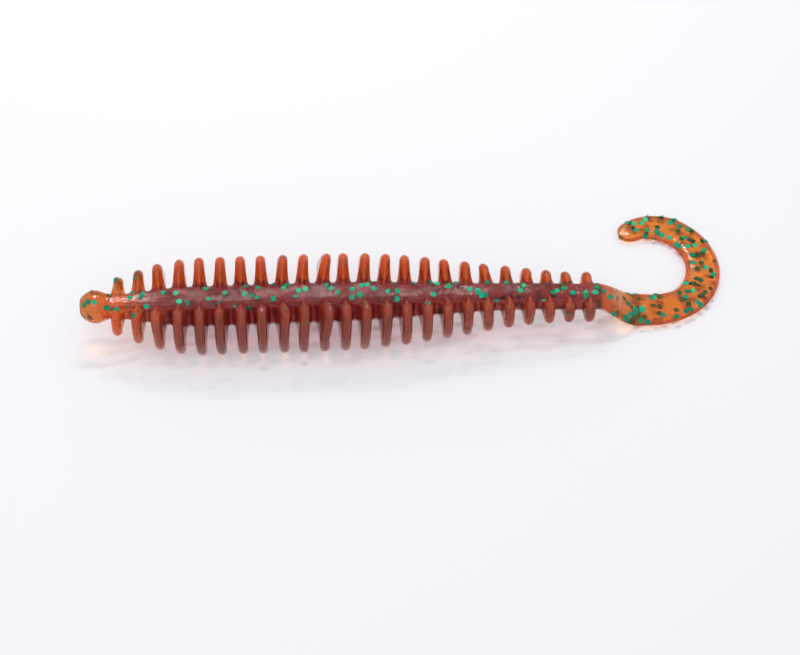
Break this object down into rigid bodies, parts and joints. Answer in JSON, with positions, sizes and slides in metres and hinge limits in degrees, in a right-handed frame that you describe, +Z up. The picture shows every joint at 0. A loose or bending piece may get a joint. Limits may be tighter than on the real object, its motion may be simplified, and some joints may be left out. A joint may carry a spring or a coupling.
{
  "type": "soft plastic worm",
  "caption": "Soft plastic fishing worm: round nose, finned rings on a six-sided core and a flat curled tail, with glitter flakes set in it; it bends, lifts, flaps and uncurls.",
  "frame": {"origin": "bottom centre of the whole worm's box, on the table it lies on", "axes": "+X along the body from nose to tail, +Z up, +Y to the side the tail curls to"},
  "size_m": [0.1216, 0.032, 0.013],
  "materials": {
    "soft_plastic": "gloss, see-through",
    "glitter_film": "metallic film"
  },
  "bodies": {
    "head": {"head": "soft_plastic", "flakes_head": "glitter_film"},
    "segment_01": {"ring_01": "soft_plastic", "ring_02": "soft_plastic", "flakes_segment_01": "glitter_film"},
    "segment_02": {"ring_03": "soft_plastic", "ring_04": "soft_plastic", "flakes_segment_02": "glitter_film"},
    "segment_03": {"ring_05": "soft_plastic", "ring_06": "soft_plastic", "flakes_segment_03": "glitter_film"},
    "segment_04": {"ring_07": "soft_plastic", "ring_08": "soft_plastic", "flakes_segment_04": "glitter_film"},
    "segment_05": {"ring_09": "soft_plastic", "ring_10": "soft_plastic", "flakes_segment_05": "glitter_film"},
    "segment_06": {"ring_11": "soft_plastic", "ring_12": "soft_plastic", "flakes_segment_06": "glitter_film"},
    "segment_07": {"ring_13": "soft_plastic", "ring_14": "soft_plastic", "flakes_segment_07": "glitter_film"},
    "segment_08": {"ring_15": "soft_plastic", "ring_16": "soft_plastic", "flakes_segment_08": "glitter_film"},
    "segment_09": {"ring_17": "soft_plastic", "ring_18": "soft_plastic", "flakes_segment_09": "glitter_film"},
    "segment_10": {"ring_19": "soft_plastic", "ring_20": "soft_plastic", "flakes_segment_10": "glitter_film"},
    "segment_11": {"ring_21": "soft_plastic", "ring_22": "soft_plastic", "flakes_segment_11": "glitter_film"},
    "segment_12": {"ring_23": "soft_plastic", "ring_24": "soft_plastic", "flakes_segment_12": "glitter_film"},
    "tail_root": {"tail_root": "soft_plastic", "flakes_tail_root": "glitter_film"},
    "tail_1": {"tail_blade_1": "soft_plastic", "flakes_blade_1": "glitter_film"},
    "tail_2": {"tail_blade_2": "soft_plastic", "flakes_blade_2": "glitter_film"},
    "tail_3": {"tail_blade_3": "soft_plastic", "flakes_blade_3": "glitter_film"},
    "tail_4": {"tail_blade_4": "soft_plastic", "flakes_blade_4": "glitter_film"},
    "tail_5": {"tail_blade_5": "soft_plastic", "flakes_blade_5": "glitter_film"},
    "tail_6": {"tail_blade_6": "soft_plastic", "flakes_blade_6": "glitter_film"},
    "tail_7": {"tail_blade_7": "soft_plastic", "flakes_blade_7": "glitter_film"},
    "tail_8": {"tail_blade_8": "soft_plastic", "flakes_blade_8": "glitter_film"}
  },
  "joints": [
    {"name": "side_bend_1", "type": "hinge", "parent": "segment_01", "child": "head", "pos_m": [-0.05585, -0.00688, 0.00737], "axis": [0, 0, -1], "range_deg": [-11, 11], "stiffness_Nm_per_rad": 0.000536},
    {"name": "lift_bend_1", "type": "hinge", "parent": "segment_02", "child": "segment_01", "pos_m": [-0.04823, -0.00688, 0.0069], "axis": [0, 1, 0], "range_deg": [0, 11], "stiffness_Nm_per_rad": 0.001554},
    {"name": "side_bend_2", "type": "hinge", "parent": "segment_03", "child": "segment_02", "pos_m": [-0.04061, -0.00688, 0.00652], "axis": [0, 0, -1], "range_deg": [-11, 11], "stiffness_Nm_per_rad": 0.003973},
    {"name": "lift_bend_2", "type": "hinge", "parent": "segment_04", "child": "segment_03", "pos_m": [-0.03299, -0.00688, 0.00648], "axis": [0, 1, 0], "range_deg": [0, 11], "stiffness_Nm_per_rad": 0.004},
    {"name": "side_bend_3", "type": "hinge", "parent": "segment_05", "child": "segment_04", "pos_m": [-0.02537, -0.00688, 0.00648], "axis": [0, 0, -1], "range_deg": [-11, 11], "stiffness_Nm_per_rad": 0.004},
    {"name": "lift_bend_3", "type": "hinge", "parent": "segment_06", "child": "segment_05", "pos_m": [-0.01775, -0.00688, 0.00648], "axis": [0, 1, 0], "range_deg": [0, 11], "stiffness_Nm_per_rad": 0.004},
    {"name": "side_bend_4", "type": "hinge", "parent": "segment_06", "child": "segment_07", "pos_m": [-0.01013, -0.00688, 0.00648], "axis": [0, 0, 1], "range_deg": [-11, 11], "stiffness_Nm_per_rad": 0.003717},
    {"name": "lift_bend_4", "type": "hinge", "parent": "segment_07", "child": "segment_08", "pos_m": [-0.00251, -0.00688, 0.00648], "axis": [0, -1, 0], "range_deg": [0, 11], "stiffness_Nm_per_rad": 0.002752},
    {"name": "side_bend_5", "type": "hinge", "parent": "segment_08", "child": "segment_09", "pos_m": [0.00511, -0.00688, 0.00648], "axis": [0, 0, 1], "range_deg": [-11, 11], "stiffness_Nm_per_rad": 0.001742},
    {"name": "lift_bend_5", "type": "hinge", "parent": "segment_09", "child": "segment_10", "pos_m": [0.01273, -0.00688, 0.00648], "axis": [0, -1, 0], "range_deg": [0, 11], "stiffness_Nm_per_rad": 0.001101},
    {"name": "side_bend_6", "type": "hinge", "parent": "segment_10", "child": "segment_11", "pos_m": [0.02035, -0.00688, 0.00645], "axis": [0, 0, 1], "range_deg": [-11, 11], "stiffness_Nm_per_rad": 0.000858},
    {"name": "lift_bend_6", "type": "hinge", "parent": "segment_11", "child": "segment_12", "pos_m": [0.02797, -0.00688, 0.00595], "axis": [0, -1, 0], "range_deg": [0, 11], "stiffness_Nm_per_rad": 0.00085},
    {"name": "side_bend_7", "type": "hinge", "parent": "segment_12", "child": "tail_root", "pos_m": [0.03559, -0.00688, 0.00558], "axis": [0, 0, 1], "range_deg": [-11, 11], "stiffness_Nm_per_rad": 0.00085},
    {"name": "tail_flap", "type": "hinge", "parent": "tail_root", "child": "tail_1", "pos_m": [0.04306, -0.00688, 0.001], "axis": [0, -1, 0], "range_deg": [0, 35], "stiffness_Nm_per_rad": 0.0003},
    {"name": "tail_uncurl_1", "type": "hinge", "parent": "tail_1", "child": "tail_2", "pos_m": [0.04828, -0.00685, 0.00097], "axis": [0, 0, -1], "range_deg": [0, 27], "stiffness_Nm_per_rad": 0.0001589},
    {"name": "tail_uncurl_2", "type": "hinge", "parent": "tail_2", "child": "tail_3", "pos_m": [0.05315, -0.00513, 0.00094], "axis": [0, 0, -1], "range_deg": [0, 27], "stiffness_Nm_per_rad": 0.0001327},
    {"name": "tail_uncurl_3", "type": "hinge", "parent": "tail_3", "child": "tail_4", "pos_m": [0.05655, -0.00124, 0.00091], "axis": [0, 0, -1], "range_deg": [0, 27], "stiffness_Nm_per_rad": 0.0001191},
    {"name": "tail_uncurl_4", "type": "hinge", "parent": "tail_4", "child": "tail_5", "pos_m": [0.05759, 0.00382, 0.00088], "axis": [0, 0, -1], "range_deg": [0, 27], "stiffness_Nm_per_rad": 0.0001072},
    {"name": "tail_uncurl_5", "type": "hinge", "parent": "tail_5", "child": "tail_6", "pos_m": [0.05601, 0.00873, 0.00084], "axis": [0, 0, -1], "range_deg": [0, 27], "stiffness_Nm_per_rad": 0.0000961},
    {"name": "tail_uncurl_6", "type": "hinge", "parent": "tail_6", "child": "tail_7", "pos_m": [0.05222, 0.01223, 0.00081], "axis": [0, 0, -1], "range_deg": [0, 27], "stiffness_Nm_per_rad": 0.0000857},
    {"name": "tail_uncurl_7", "type": "hinge", "parent": "tail_7", "child": "tail_8", "pos_m": [0.0472, 0.01305, 0.00078], "axis": [0, 0, -1], "range_deg": [0, 27], "stiffness_Nm_per_rad": 0.0000643}
  ],
  "couplings": [
    {"joint": "side_bend_1", "follows": "side_bend_4", "ratio": 1},
    {"joint": "lift_bend_1", "follows": "lift_bend_3", "ratio": 1},
    {"joint": "side_bend_2", "follows": "side_bend_4", "ratio": 1},
    {"joint": "lift_bend_2", "follows": "lift_bend_3", "ratio": 1},
    {"joint": "side_bend_3", "follows": "side_bend_4", "ratio": 1},
    {"joint": "lift_bend_4", "follows": "lift_bend_3", "ratio": 1},
    {"joint": "side_bend_5", "follows": "side_bend_4", "ratio": 1},
    {"joint": "lift_bend_5", "follows": "lift_bend_3", "ratio": 1},
    {"joint": "side_bend_6", "follows": "side_bend_4", "ratio": 1},
    {"joint": "lift_bend_6", "follows": "lift_bend_3", "ratio": 1},
    {"joint": "side_bend_7", "follows": "side_bend_4", "ratio": 1},
    {"joint": "tail_uncurl_2", "follows": "tail_uncurl_1", "ratio": 1},
    {"joint": "tail_uncurl_3", "follows": "tail_uncurl_1", "ratio": 1},
    {"joint": "tail_uncurl_4", "follows": "tail_uncurl_1", "ratio": 1},
    {"joint": "tail_uncurl_5", "follows": "tail_uncurl_1", "ratio": 1},
    {"joint": "tail_uncurl_6", "follows": "tail_uncurl_1", "ratio": 1},
    {"joint": "tail_uncurl_7", "follows": "tail_uncurl_1", "ratio": 1}
  ]
}
